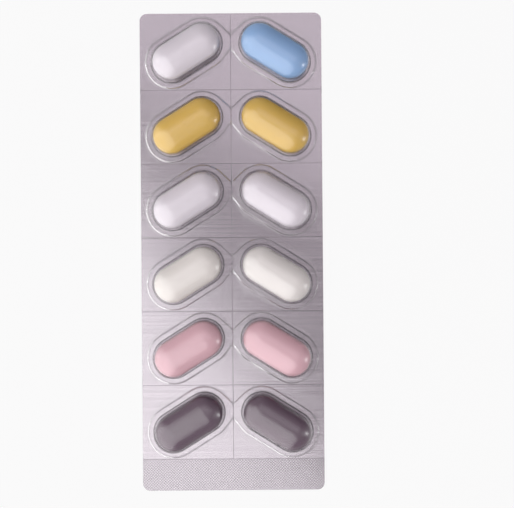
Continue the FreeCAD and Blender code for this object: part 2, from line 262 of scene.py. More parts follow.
@dataclass(frozen=True)
class PackPlan:
    """Where the card, its rows and its pockets lie, read from the frame."""

    rows: int
    half_width: float
    top: float
    foot: float
    row_pitch: float
    row_middles: tuple[float, ...]
    pocket_x: float
    foil_top: float
    film_height: float

    @classmethod
    def from_frame(cls) -> "PackPlan":
        """Read the plan from the boxes of the film, the foil and the capsules."""
        low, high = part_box("blister_film")
        foil_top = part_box("lidding_foil")[1].z / MM
        names = sorted(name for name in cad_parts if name.startswith("capsule_row"))
        boxes = [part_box(name) for name in names if name.endswith("_right")]
        middles = [(corners[0] + corners[1]) / 2 / MM for corners in boxes]
        rows = tuple(float(middle.y) for middle in middles)
        return cls(
            rows=len(rows),
            half_width=float(high.x - low.x) / 2 / MM,
            top=high.y / MM,
            foot=low.y / MM,
            row_pitch=(rows[0] - rows[-1]) / (len(rows) - 1),
            row_middles=rows,
            pocket_x=float(middles[0].x),
            foil_top=foil_top,
            film_height=high.z / MM,
        )


@dataclass
class BlisterFilm:
    """The clear formed film: twelve pockets on raised collars, the flat web, tear lines and the end tab."""

    plan: PackPlan
    thickness: float = 0.25
    seal_gap: float = 0.008
    foot_width: float = 11.1
    foot_length: float = 21.1
    tilt: float = 32.0
    wall_draft: float = 2.0
    crown_radius: float = 9.0
    shoulder_radius: float = 2.0
    root_radius: float = 0.36
    collar_offset: float = 1.8
    collar_rise: float = 0.35
    slope_width: float = 0.54
    outer_slope_foot: float = 0.09
    inner_slope_foot: float = 0.02
    slope_span: Pair = (-0.5, 0.1)
    slope_middle: float = -0.18
    slope_reach: float = 0.32
    ring_gap: float = 0.01
    bridge_upper_angle: float = 43.0
    bridge_lower_angle: float = 52.0
    score_half_width: float = 0.15
    score_depth: float = 0.1
    score_inset: float = 0.8
    hold_width: float = 0.23
    corner_radius: float = 2.0
    corner_steps: int = 8
    side_steps: int = 15
    head_fan_steps: int = 15
    inner_fan_steps: int = 20
    outer_fan_steps: int = 19

    @property
    def web_top(self) -> float:
        """Height of the flat web's upper face."""
        return self.plan.foil_top + self.thickness

    @property
    def web_under(self) -> float:
        """Height of the flat web's lower face, a hair above the foil."""
        return self.plan.foil_top + self.seal_gap

    @property
    def half_spine(self) -> float:
        """Half the straight length of a pocket's spine."""
        return (self.foot_length - self.foot_width) / 2

    def spine_end(self) -> Array:
        """The inner end of the right-hand spine from the pocket's middle."""
        tilt = math.radians(self.tilt)
        return np.array((-math.cos(tilt), math.sin(tilt))) * self.half_spine

    def corner_angle(self, end: int, x: float, y: float) -> float:
        """The angle of the ray that runs from a spine end to a cell's corner, in degrees."""
        start = self.spine_end() * -end
        return math.degrees(math.atan2(y - start[1], x - start[0])) + self.tilt

    def stadium(self) -> Stadium:
        """The rays of a cell, whose first ray runs to the cell's outer lower corner.

        Rays run to the four corners of the cell, so its border has a point at each. The cell's two long
        borders have the same number of rays, so that a row's points meet the next row's.
        """
        outer_x, half = self.plan.half_width - self.plan.pocket_x, self.plan.row_pitch / 2
        low_outer = self.corner_angle(1, outer_x, -half)
        high_inner = self.corner_angle(-1, -self.plan.pocket_x, half) % 360
        before = np.linspace(-90, low_outer, self.head_fan_steps + 1)
        after = np.linspace(low_outer, 90, self.outer_fan_steps + 1)[1:]
        first = np.linspace(90, high_inner, self.head_fan_steps + 1)
        second = np.linspace(high_inner, 270, self.inner_fan_steps + 1)[1:]
        caps = (tuple(np.concatenate((before, after))), tuple(np.concatenate((first, second))))
        return Stadium(self.half_spine, self.tilt, self.side_steps, caps)

    def pocket_section(self, skin: Skin) -> Array:
        """A pocket's profile from its spine down to the collar: crown, shoulder, wall and root.

        The crown is an arc about a point below the spine, the shoulder an arc inside both crown and wall, the
        wall a line leaning in by the draft, and the root an arc that turns outwards into the collar's top.

        Args:
            skin: which of the film's faces; the inner one lies one thickness inside the outer one.

        Returns:
            An array of (reach, height) rows.
        """
        inset = 0.0 if skin is Skin.OUTER else self.thickness
        crown_steps, shoulder_steps = ROUND_STEPS[skin]
        draft = math.radians(self.wall_draft)
        base = self.web_top + self.collar_rise
        crown, shoulder = self.crown_radius - inset, self.shoulder_radius - inset
        top = self.plan.film_height - inset
        middle = top - crown
        half = self.foot_width / 2 - inset / math.cos(draft)
        along = np.array((-math.sin(draft), math.cos(draft)))
        start = np.array((half - shoulder * math.cos(draft), base - shoulder * math.sin(draft)))
        reach = start - np.array((0.0, middle))
        dot = float(reach @ along)
        step = -dot + math.sqrt(dot * dot - float(reach @ reach) + (crown - shoulder) ** 2)
        pivot = start + along * step
        edge = math.degrees(math.atan2(pivot[1] - middle, pivot[0]))
        root = self.root_radius + inset
        tangent = self.root_radius / math.tan(math.radians((90 + self.wall_draft) / 2))
        root_centre = (self.foot_width / 2 + tangent, base + self.root_radius)
        parts = (
            arc((0.0, middle), crown, 90.0, edge, crown_steps),
            arc(tuple(pivot), shoulder, edge, self.wall_draft, shoulder_steps)[1:],
            arc(root_centre, root, 180.0 + self.wall_draft, 270.0, ROOT_STEPS[skin]),
        )
        return np.concatenate(parts)

    def collar_radius(self) -> float:
        """Distance from the spine to the foot of the collar's slope."""
        return self.foot_width / 2 + self.collar_offset

    def bridge_directions(self) -> Pair:
        """Directions from the spine's inner end, in radians, in which the bridge's two edges leave."""
        return math.radians(90 + self.bridge_upper_angle), math.radians(270 - self.bridge_lower_angle)

    def collar_distance(self, x: Array, y: Array) -> Array:
        """Distance outside the collar's foot, negative inside, in the right column.

        Round the pocket it is the distance to the spine less the collar's radius. Between the directions in
        which the bridge's two edges leave, it is the larger of the distances beyond those two straight edges.

        Args:
            x: positions across, from the pocket's middle.
            y: positions along, from the pocket's middle.

        Returns:
            The distances in millimetres.
        """
        tilt = math.radians(self.tilt)
        along = x * math.cos(tilt) - y * math.sin(tilt)
        across = x * math.sin(tilt) + y * math.cos(tilt)
        beyond = along - np.clip(along, -self.half_spine, self.half_spine)
        round_pocket = np.hypot(beyond, across)
        start = self.spine_end()
        from_x, from_y = x - start[0], y - start[1]
        upper, lower = self.bridge_directions()
        past_upper = from_x * math.cos(upper) + from_y * math.sin(upper)
        past_lower = from_x * math.cos(lower) + from_y * math.sin(lower)
        direction = np.mod(np.arctan2(from_y, from_x), 2 * math.pi)
        in_bridge = (direction > upper) & (direction < lower)
        return np.where(in_bridge, np.maximum(past_upper, past_lower), round_pocket) - self.collar_radius()

    def film_level(self, distance: Array, skin: Skin) -> Array:
        """Height of the web, slope and collar: a smooth step of the distance inside the collar's foot."""
        if skin is Skin.OUTER:
            web, rise, foot = self.web_top, self.collar_rise, self.outer_slope_foot
        else:
            web, rise, foot = self.web_under, self.collar_rise - self.seal_gap, self.inner_slope_foot
        return web + rise * smooth_step((foot - distance) / self.slope_width)

    def border(self, row: int) -> tuple[Array, Array]:
        """A cell's border and the direction in which each of its points lies inside it.

        The inner border's points lie where the rays cross the card's middle line. Those of the two long
        borders lie midway between where the rays of the upper and of the lower one cross them, which makes
        them the same in both. The top row's border runs to the head of the card and round its corner.

        Args:
            row: the row, from the head.

        Returns:
            The border's points from the pocket's middle, and for each the steps in X and Y that lead inside.
        """
        plan = self.plan
        starts, directions = self.stadium().rays()
        half, inner_x, outer_x = plan.row_pitch / 2, -plan.pocket_x, plan.half_width - plan.pocket_x
        fan, side = self.head_fan_steps, self.side_steps
        low_outer, high_outer = fan, fan + self.outer_fan_steps
        high_inner = high_outer + side + fan
        low_inner = high_inner + self.inner_fan_steps
        total = len(starts)

        def crossing(level: float, axis: int, index: Array) -> Array:
            """Where some rays reach a level on an axis."""
            reach = (level - starts[index, axis]) / directions[index, axis]
            return starts[index] + directions[index] * reach[:, None]

        upper = np.arange(high_outer, high_inner + 1)
        lower = np.mod(np.arange(low_outer + total, low_inner - 1, -1), total)
        across = (crossing(half, 1, upper)[:, 0] + crossing(-half, 1, lower)[:, 0]) / 2
        across = np.clip(across, inner_x, outer_x)
        across[0], across[-1] = outer_x, inner_x
        outer = np.arange(low_outer, high_outer + 1)
        inner = np.arange(high_inner, low_inner + 1)

        points, inward = np.zeros((total, 2)), np.zeros((total, 2))
        points[outer, 0], inward[outer, 0] = outer_x, -1
        points[outer, 1] = np.clip(crossing(outer_x, 0, outer)[:, 1], -half, half)
        points[inner, 0], inward[inner, 0] = inner_x, 1
        points[inner, 1] = np.clip(crossing(inner_x, 0, inner)[:, 1], -half, half)
        points[upper, 0], points[upper, 1], inward[upper, 1] = across, half, -1
        points[lower, 0], points[lower, 1], inward[lower, 1] = across, -half, 1
        if row == 0:
            head = plan.top - plan.row_middles[0]
            points[upper, 1] = head
            points[outer, 1] = -half + (points[outer, 1] + half) * (head + half) / (2 * half)
            middle = np.array((outer_x, head)) - self.corner_radius
            offset = points - middle
            in_corner = (offset > 0).all(axis=1)
            length = np.linalg.norm(offset[in_corner], axis=1, keepdims=True)
            points[in_corner] = middle + offset[in_corner] / length * self.corner_radius
        return points, inward

    def score(self, points: Array, row: int) -> Array:
        """Depth of the tear lines on a border: V-shaped along the middle and below each row.

        Args:
            points: border points from the pocket's middle.
            row: the row, from the head.

        Returns:
            The depth at each point, 0 on the card's own edges.
        """
        half, inner_x = self.plan.row_pitch / 2, -self.plan.pocket_x
        on_line = np.abs(points[:, 1] + half) < ON_LINE
        if row > 0:
            on_line |= np.abs(points[:, 1] - half) < ON_LINE
        head_end = self.plan.top - self.score_inset - self.plan.row_middles[row]
        on_line |= (np.abs(points[:, 0] - inner_x) < ON_LINE) & (points[:, 1] < head_end)
        return on_line * self.score_depth

    def cell(self, row: int, skin: Skin) -> tuple[Array, Array]:
        """One pocket with its share of the web, as rings of points from the spine to the cell's border.

        The pocket's rings carry its profile round the oblong. The collar's rings follow the same rays to set
        distances from the collar's foot, and stop short of the border. The web's rings pass evenly from the
        last of those to the border.

        Args:
            row: the row, from the head.
            skin: which face of the film.

        Returns:
            A grid of shape (rings, rays, 3) about the pocket's middle, and marks of the same shape: how much
            of the root's bend, the collar's slope and the tear line each point has, from 0 to 1.
        """
        stadium = self.stadium()
        starts, directions = stadium.rays()
        section = self.pocket_section(skin)
        pocket = stadium.sweep(section[:, 0], section[:, 1], (0.0, 0.0))

        border, inward = self.border(row)
        hold = border + inward * self.hold_width
        levels = np.linspace(*self.slope_span, SLOPE_RINGS[skin])
        radius = self.collar_radius()
        fan = np.arctan2(directions[:, 1], directions[:, 0])
        upper, lower = self.bridge_directions()
        turn = np.mod(fan, 2 * math.pi)
        from_end = np.hypot(*(starts - self.spine_end()).T) < ON_LINE
        in_bridge = (turn > upper) & (turn < lower) & from_end
        steepness = np.where(in_bridge, np.maximum(np.cos(turn - upper), np.cos(turn - lower)), 1.0)
        reach = (radius + levels[:, None]) / steepness[None]
        limit = np.full(len(fan), np.inf)
        for axis, sign in ((0, -1), (0, 1), (1, -1), (1, 1)):
            edge = (hold[:, axis] * sign).max()
            gain = directions[:, axis] * sign
            distance = (edge - starts[:, axis] * sign) / np.where(gain > SQUARE_RAY, gain, np.nan)
            limit = np.fmin(limit, distance)
        squeeze = self.ring_gap * np.arange(len(levels), 0, -1)
        reach = np.minimum(reach, limit[None] - squeeze[:, None])
        slope = starts[None] + directions[None] * reach[:, :, None]

        web = [slope[-1] + (hold - slope[-1]) * part for part in WEB_PARTS[skin]]
        if skin is Skin.OUTER:
            web.append(border + inward * self.score_half_width)
        web.append(border)
        plan = np.concatenate((slope, np.stack(web)))
        away = self.collar_distance(plan[..., 0], plan[..., 1])
        level = self.film_level(away, skin)
        marks = np.zeros((len(pocket) + len(plan), len(fan), 3))
        if skin is Skin.OUTER:
            depth = self.score(border, row)
            level[-1] -= depth
            # The root's bend and the tear line get marks for painted shade, and the collar's slope gets a
            # mark for haze and gloss.
            turning = np.linspace(-1.0, 1.0, ROOT_STEPS[skin] + 1)
            marks[len(pocket) - len(turning) : len(pocket), :, 0] = (1.0 - turning[:, None] ** 2) ** 3
            off_middle = (away - self.slope_middle) / self.slope_reach
            marks[len(pocket) :, :, 1] = np.clip(1.0 - off_middle**2, 0.0, 1.0)
            marks[-1, :, 2] = depth / self.score_depth
        flat = np.concatenate((plan, level[..., None]), axis=2)
        return np.concatenate((pocket, flat)), marks

    def edge_indices(self, row: int) -> Array:
        """Indices round a cell of the border points that lie on the card's own edge, in order."""
        low_outer = self.head_fan_steps
        high_outer = low_outer + self.outer_fan_steps
        last = high_outer + self.side_steps + self.head_fan_steps if row == 0 else high_outer
        return np.arange(low_outer, last + 1)

    def tab_outline(self) -> Array:
        """The end tab's outline below the last tear line, from its right end clockwise to its left end."""
        plan, radius = self.plan, self.corner_radius
        right = arc((plan.half_width - radius, plan.foot + radius), radius, 0.0, -90.0, self.corner_steps)
        left = right[::-1] * np.array((-1.0, 1.0))
        return np.concatenate((right, left))

    def add_tab(self, shell: PieceMesh) -> None:
        """Add the end tab: the tear line's lower flank, a flat top, a flat underside and the card's edge."""
        plan = self.plan
        border, _ = self.border(plan.rows - 1)
        line_y = plan.row_middles[-1] - plan.row_pitch / 2
        on_line = np.abs(border[:, 1] + plan.row_pitch / 2) < ON_LINE
        half = np.sort(border[on_line, 0]) + plan.pocket_x
        across = np.concatenate((-half[::-1], half[1:]))
        outline = self.tab_outline()
        count, corner = len(across), len(outline)

        def row_at(y: float, z: float) -> Array:
            """A row of points across the card."""
            return np.stack((across, np.full(count, y), np.full(count, z)), axis=1)

        rows = (
            row_at(line_y, self.web_top - self.score_depth),
            row_at(line_y - self.score_half_width, self.web_top),
            row_at(line_y - self.hold_width, self.web_top),
        )
        on_score = np.zeros((count, 3))
        on_score[:, 2] = 1.0
        bottom = np.arange(count) + shell.add(rows[0], on_score)
        flank, hold = (np.arange(count) + shell.add(points) for points in rows[1:])
        under = np.arange(count) + shell.add(row_at(line_y, self.web_under))
        top_edge, under_edge = (
            np.arange(corner) + shell.add(np.column_stack((outline, np.full(corner, z))))
            for z in (self.web_top, self.web_under)
        )
        shell.add_strip(bottom, flank)
        shell.add_strip(flank, hold)
        shell.polygons.append(list(hold) + list(top_edge))
        shell.polygons.append(list(under) + list(under_edge))
        shell.add_strip(top_edge, under_edge)
        for end, other in ((0, -1), (-1, 0)):
            side = [bottom[end], flank[end], hold[end], top_edge[other], under_edge[other], under[end]]
            shell.polygons.append(side)

    def build(self) -> bpy.types.Object:
        """Build the film as one closed shell."""
        shell = PieceMesh()
        for column in Column:
            for row, middle in enumerate(self.plan.row_middles):
                first: dict[Skin, int] = {}
                last: dict[Skin, Array] = {}
                for skin in Skin:
                    grid, marks = self.cell(row, skin)
                    grid = grid + np.array((self.plan.pocket_x, middle, 0.0))
                    grid[..., 0] *= column.value
                    turned = (skin is Skin.INNER) != (column is Column.LEFT)
                    first[skin] = shell.add_rings(grid, turned, marks)
                    around = grid.shape[1]
                    last[skin] = first[skin] + (grid.shape[0] - 1) * around + self.edge_indices(row)
                shell.add_strip(last[Skin.OUTER], last[Skin.INNER])
        self.add_tab(shell)
        return shell.to_object("film_shell")


@dataclass
class Capsule:
    """One oblong capsule: an oval section carried round a straight spine."""

    name: str
    width: float = 10.1
    length: float = 20.0
    thickness: float = 6.6
    side_radius: float = 2.2
    tilt: float = 32.0
    fan_steps: int = 26
    side_steps: int = 12
    cup_steps: int = 9
    side_arc_steps: int = 14

    def section(self) -> Array:
        """Half the oval from the top of the spine to its bottom: cup arc, side arc, cup arc."""
        half, height, side = self.width / 2, self.thickness / 2, self.side_radius
        cup = ((half - side) ** 2 + height**2 - side**2) / (2 * (height - side))
        edge = math.degrees(math.atan2(cup - height, half - side))
        return np.concatenate((
            arc((0.0, height - cup), cup, 90.0, edge, self.cup_steps),
            arc((half - side, 0.0), side, edge, -edge, self.side_arc_steps)[1:],
            arc((0.0, cup - height), cup, -edge, -90.0, self.cup_steps)[1:],
        ))

    def build(self) -> bpy.types.Object:
        """Build the capsule where its node lies."""
        low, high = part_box(self.name)
        middle = (low + high) / 2 / MM
        section = self.section()
        outer = tuple(np.linspace(-90.0, 90.0, self.fan_steps + 1))
        inner = tuple(np.linspace(90.0, 270.0, self.fan_steps + 1))
        stadium = Stadium((self.length - self.width) / 2, self.tilt, self.side_steps, (outer, inner))
        side = 1.0 if middle.x > 0 else -1.0
        grid = stadium.sweep(section[:, 0], section[:, 1], (0.0, 0.0))
        grid[..., 0] *= side
        grid += np.array(middle)
        shell = PieceMesh()
        shell.add_rings(grid, side < 0)
        return shell.to_object(self.name.replace("capsule", "gel"))


# ----------------------------------------
# Finishes
# ----------------------------------------


class Wire:
    """One output in a node tree. Arithmetic on it adds Math nodes, and node() adds any other."""

    def __init__(self, tree: bpy.types.NodeTree, socket: bpy.types.NodeSocket) -> None:
        """Keep the tree and the output socket."""
        self.tree = tree
        self.socket = socket

    def node(
        self,
        kind: str,
        inputs: dict[Union[str, int], object],
        output: Union[str, int] = 0,
        **settings: object,
    ) -> "Wire":
        """Add a node of any kind.

        Args:
            kind: the node's type without "ShaderNode".
            inputs: its inputs by name or number; a Wire is linked and anything else is set as the value.
            output: the output to return.
            settings: properties of the node.

        Returns:
            The wire from that output.
        """
        node = self.tree.nodes.new("ShaderNode" + kind)
        for name, setting in settings.items():
            setattr(node, name, setting)
        for key, source in inputs.items():
            if isinstance(source, Wire):
                self.tree.links.new(source.socket, node.inputs[key])
            else:
                node.inputs[key].default_value = source
        return Wire(self.tree, node.outputs[output])

    def math(self, operation: str, *operands: Union["Wire", Number]) -> "Wire":
        """Add a Math node on the operands in order."""
        return self.node("Math", dict(enumerate(operands)), operation=operation)

    def __add__(self, other: Union["Wire", Number]) -> "Wire":
        """This plus other."""
        return self.math("ADD", self, other)

    def __sub__(self, other: Union["Wire", Number]) -> "Wire":
        """This less other."""
        return self.math("SUBTRACT", self, other)

    def __rsub__(self, other: Number) -> "Wire":
        """Other less this."""
        return self.math("SUBTRACT", other, self)

    def __mul__(self, other: Union["Wire", Number]) -> "Wire":
        """This times other."""
        return self.math("MULTIPLY", self, other)

    def __pow__(self, other: Union["Wire", Number]) -> "Wire":
        """This to the power of other."""
        return self.math("POWER", self, other)

    __radd__ = __add__
    __rmul__ = __mul__

    def clamped(self) -> "Wire":
        """This held between 0 and 1."""
        return self.node("Clamp", {0: self})

    def blend(self, first: Colour, second: Colour) -> "Wire":
        """The first colour where this is 0, the second where it is 1."""
        ends = {0: self, 6: rgba(first), 7: rgba(second)}
        return self.node("Mix", ends, output=2, data_type="RGBA")

    def band(self, start: float, stop: float) -> "Wire":
        """A smooth step that rises from 0 at start to 1 at stop."""
        return self.node("MapRange", {0: self, 1: start, 2: stop}, interpolation_type="SMOOTHSTEP")


def new_material(name: str) -> tuple[bpy.types.Material, Wire]:
    """An empty node material and a wire of the piece's own coordinates in metres."""
    material = bpy.data.materials.new(name)
    material.use_nodes = True
    tree = material.node_tree
    tree.nodes.clear()
    coordinates = tree.nodes.new("ShaderNodeTexCoord")
    return material, Wire(tree, coordinates.outputs["Object"])


def finish_material(shader: Wire) -> None:
    """Lead a shader to the tree's output."""
    kind = "World" if isinstance(shader.tree.id_data, bpy.types.World) else "Material"
    output = shader.tree.nodes.new("ShaderNodeOutput" + kind)
    shader.tree.links.new(shader.socket, output.inputs["Surface"])


def rgba(colour: Colour) -> tuple[float, float, float, float]:
    """A colour with full alpha, as a socket takes it."""
    return (*colour, 1.0)


def ray_kinds(place: Wire) -> tuple[Wire, ...]:
    """Wires that are 1 for rays from the camera, from mirror images and through clear solids, in turn."""
    kinds = ("Is Camera Ray", "Is Glossy Ray", "Is Transmission Ray")
    return tuple(place.node("LightPath", {}, output=kind) for kind in kinds)


@dataclass(frozen=True)
class ClearFilm:
    """Clear glossy plastic film: see-through face on, greyer and more mirror-like at a glancing angle."""

    gloss_roughness: float = 0.22
    body_roughness: float = 0.25
    bend_roughness: float = 0.3
    face_on_reflection: float = 0.07
    glancing_reflection: float = 0.4
    slope_reflection: float = 0.3
    slope_haze: float = 0.1
    haze: float = 0.006
    body: Colour = (0.70, 0.68, 0.70)
    # Painted shade for the roots' bends and the tear lines: its near-black colour and its shares.
    painted_bend_shade: Colour = (0.03, 0.025, 0.03)
    painted_bend_share: float = 0.7
    painted_tear_share: float = 0.28
    edge_power: float = 9.0
    mirror_power: float = 5.0
    ripple_scale: float = 110.0
    ripple_height: float = 0.000015
    ripple_strength: float = 0.6

    def material(self) -> bpy.types.Material:
        """Make the film's material.

        With f rising from 0 face on to 1 at a glancing angle, the haze is haze + (1 - haze) f^edge_power
        and the mirror's share face_on + (glancing - face_on) f^mirror_power. The collars' slopes have more
        of both. The roots' bends and the tear lines get painted shade: a near-black shader is mixed in there
        to stand in for the shade of the bends and grooves.
        """
        material, place = new_material("clear_film")
        ripple = place.node("TexNoise", {"Vector": place, "Scale": self.ripple_scale, "Detail": 2.0})
        bump = place.node(
            "Bump", {"Height": ripple, "Distance": self.ripple_height, "Strength": self.ripple_strength}
        )
        facing = place.node("LayerWeight", {"Blend": 0.5}, output="Facing")
        bend, slope, tear = (
            place.node("Attribute", {}, output="Fac", attribute_name=label) for label in MARKS
        )
        edge = self.haze + (1.0 - self.haze) * facing**self.edge_power + slope * self.slope_haze
        gain = self.glancing_reflection - self.face_on_reflection
        mirror = self.face_on_reflection + gain * facing**self.mirror_power
        mirror = (mirror + slope * self.slope_reflection).clamped()
        # Painted shade: the near-black shader's share along the roots' bends and the tear lines.
        painted_shade = (bend * self.painted_bend_share + tear * self.painted_tear_share).clamped()
        body = place.node(
            "BsdfPrincipled",
            {"Base Color": rgba(self.body), "Roughness": self.body_roughness, "Normal": bump},
        )
        gloss = place.node("BsdfGlossy", {"Roughness": self.gloss_roughness, "Normal": bump})
        clear = place.node("BsdfTransparent", {})
        hazy = place.node("MixShader", {0: edge.clamped(), 1: clear, 2: body})
        # The near-black shader that paints shade onto the bends and tear lines.
        painted_shade_shader = place.node(
            "BsdfPrincipled", {"Base Color": rgba(self.painted_bend_shade), "Roughness": self.bend_roughness}
        )
        with_painted_shade = place.node("MixShader", {0: painted_shade, 1: hazy, 2: painted_shade_shader})
        finish_material(place.node("MixShader", {0: mirror, 1: with_painted_shade, 2: gloss}))
        return material


@dataclass(frozen=True)
class LiddingFoil:
    """Rolled aluminium foil with fine streaks across the card and a cross-hatched end tab."""

    metal: Colour = (0.68, 0.63, 0.675)
    dull_metal: Colour = (0.34, 0.315, 0.3375)
    dullness: float = 0.25
    streak_dullness: float = 0.75
    hatch_dullness: float = 0.5
    tab_dullness: float = 0.4
    roughness: float = 0.16
    broad_swing: float = 0.08
    streak_swing: float = 0.1
    broad_scale: float = 30.0
    streak_scale: float = 2200.0
    streak_squash: tuple[float, float, float] = (0.006, 1.0, 1.0)
    streak_depth: float = 0.0000025
    faint_streaks: float = 0.3
    faint_line: float = 0.030
    faint_blend: float = 0.02
    hatch_pitch: float = 0.00078
    tab_line: float = -0.0575
    tab_blend: float = 0.0002

    def material(self) -> bpy.types.Material:
        """Make the foil's material.

        The streaks are a noise drawn out across the card, fainter beyond faint_line towards the head and
        absent from the tab. The tab's hatch is sin(x turn) times sin(y turn).
        """
        material, place = new_material("lidding_foil")
        stretched = place.node("Mapping", {"Vector": place, "Scale": self.streak_squash})
        streaks = place.node(
            "TexNoise", {"Vector": stretched, "Scale": self.streak_scale, "Detail": 1.0, "Roughness": 0.6}
        )
        broad = place.node("TexNoise", {"Vector": place, "Scale": self.broad_scale, "Detail": 2.0})
        across = place.node("SeparateXYZ", {0: place}, output=0)
        along = place.node("SeparateXYZ", {0: place}, output=1)
        turn = 2 * math.pi / self.hatch_pitch
        tab = (self.tab_line - along).band(0.0, self.tab_blend)
        hatch = place.math("SINE", across * turn) * place.math("SINE", along * turn) * tab
        clear_streaks = (self.faint_line - along).band(0.0, self.faint_blend)
        brushed = (self.faint_streaks + (1.0 - self.faint_streaks) * clear_streaks) * (1.0 - tab)
        relief = streaks * (self.streak_depth / MM) * brushed
        bump = place.node("Bump", {"Height": relief, "Distance": MM, "Strength": 1.0})
        roughness = self.roughness + (broad - 0.5) * self.broad_swing + (streaks - 0.5) * self.streak_swing
        duller = self.dullness + (0.5 - streaks) * self.streak_dullness * brushed
        duller = duller - hatch * self.hatch_dullness + tab * self.tab_dullness
        tone = duller.clamped().blend(self.metal, self.dull_metal)
        shader = place.node(
            "BsdfPrincipled", {"Base Color": tone, "Metallic": 1.0, "Roughness": roughness, "Normal": bump}
        )
        finish_material(shader)
        return material


class GelColour(Enum):
    """The capsules' colours, each with its slot's name in the record."""

    LILAC = ("capsule_lilac", (0.88, 0.835, 0.88))
    BLUE = ("capsule_blue", (0.31, 0.545, 0.88))
    YELLOW = ("capsule_yellow", (0.86, 0.56, 0.083))
    IVORY = ("capsule_ivory", (0.95, 0.915, 0.85))
    WHITE = ("capsule_white", (0.93, 0.90, 0.85))
    PINK = ("capsule_pink", (0.86, 0.53, 0.58))
    CHARCOAL = ("capsule_charcoal", (0.09, 0.038, 0.075))


@dataclass(frozen=True)
class GelFinish:
    """A capsule's softly glossy coloured shell, faintly mottled."""

    colour: GelColour
    coat: float = 0.2
    gloss: float = 0.3
    roughness: float = 0.32
    coat_roughness: float = 0.12
    roughness_swing: float = 0.08
    mottle: float = 0.12
    mottle_tone: float = 0.9
    mottle_scale: float = 260.0
    grain_scale: float = 1400.0
    grain_height: float = 0.000004

    @classmethod
    def of(cls, colour: GelColour) -> "GelFinish":
        """The finish of a colour: charcoal is shinier, under a full but softer coat."""
        if colour is GelColour.CHARCOAL:
            return cls(colour, coat=1.0, gloss=0.5, coat_roughness=0.32)
        return cls(colour)

    def material(self) -> bpy.types.Material:
        """Make the capsule's material, which turns slightly darker where a noise is below its middle."""
        slot, base = self.colour.value
        material, place = new_material(slot)
        cloud = place.node("TexNoise", {"Vector": place, "Scale": self.mottle_scale, "Detail": 3.0})
        darker = ((0.5 - cloud) * self.mottle).clamped()
        tint = darker.blend(base, tuple(part * self.mottle_tone for part in base))
        grain = place.node("TexNoise", {"Vector": place, "Scale": self.grain_scale, "Detail": 2.0})
        bump = place.node("Bump", {"Height": grain, "Distance": self.grain_height, "Strength": 0.5})
        shader = place.node(
            "BsdfPrincipled",
            {
                "Base Color": tint,
                "Roughness": self.roughness + (cloud - 0.5) * self.roughness_swing,
                "Coat Weight": self.coat,
                "Coat Roughness": self.coat_roughness,
                "Specular IOR Level": self.gloss,
                "Normal": bump,
            },
        )
        finish_material(shader)
        return material


# ----------------------------------------
# The studio
# ----------------------------------------


@dataclass(frozen=True)
class SoftBox:
    """A square or oblong soft lamp that looks at the pack's middle."""

    name: str
    place: tuple[float, float, float]
    size: Pair
    radiance: float
    colour: Colour = PURE_WHITE

    def build(self) -> None:
        """Make the lamp; its power is its radiance times pi times its area."""
        lamp = bpy.data.lights.new(self.name, "AREA")
        lamp.shape = "RECTANGLE"
        lamp.size, lamp.size_y = self.size
        lamp.energy = self.radiance * math.pi * self.size[0] * self.size[1]
        lamp.color = self.colour
        holder = bpy.data.objects.new(self.name, lamp)
        holder.location = self.place
        look = -Vector(self.place)
        holder.rotation_euler = look.to_track_quat("-Z", "Y").to_euler()
        holder.visible_camera = False
        bpy.context.scene.collection.objects.link(holder)


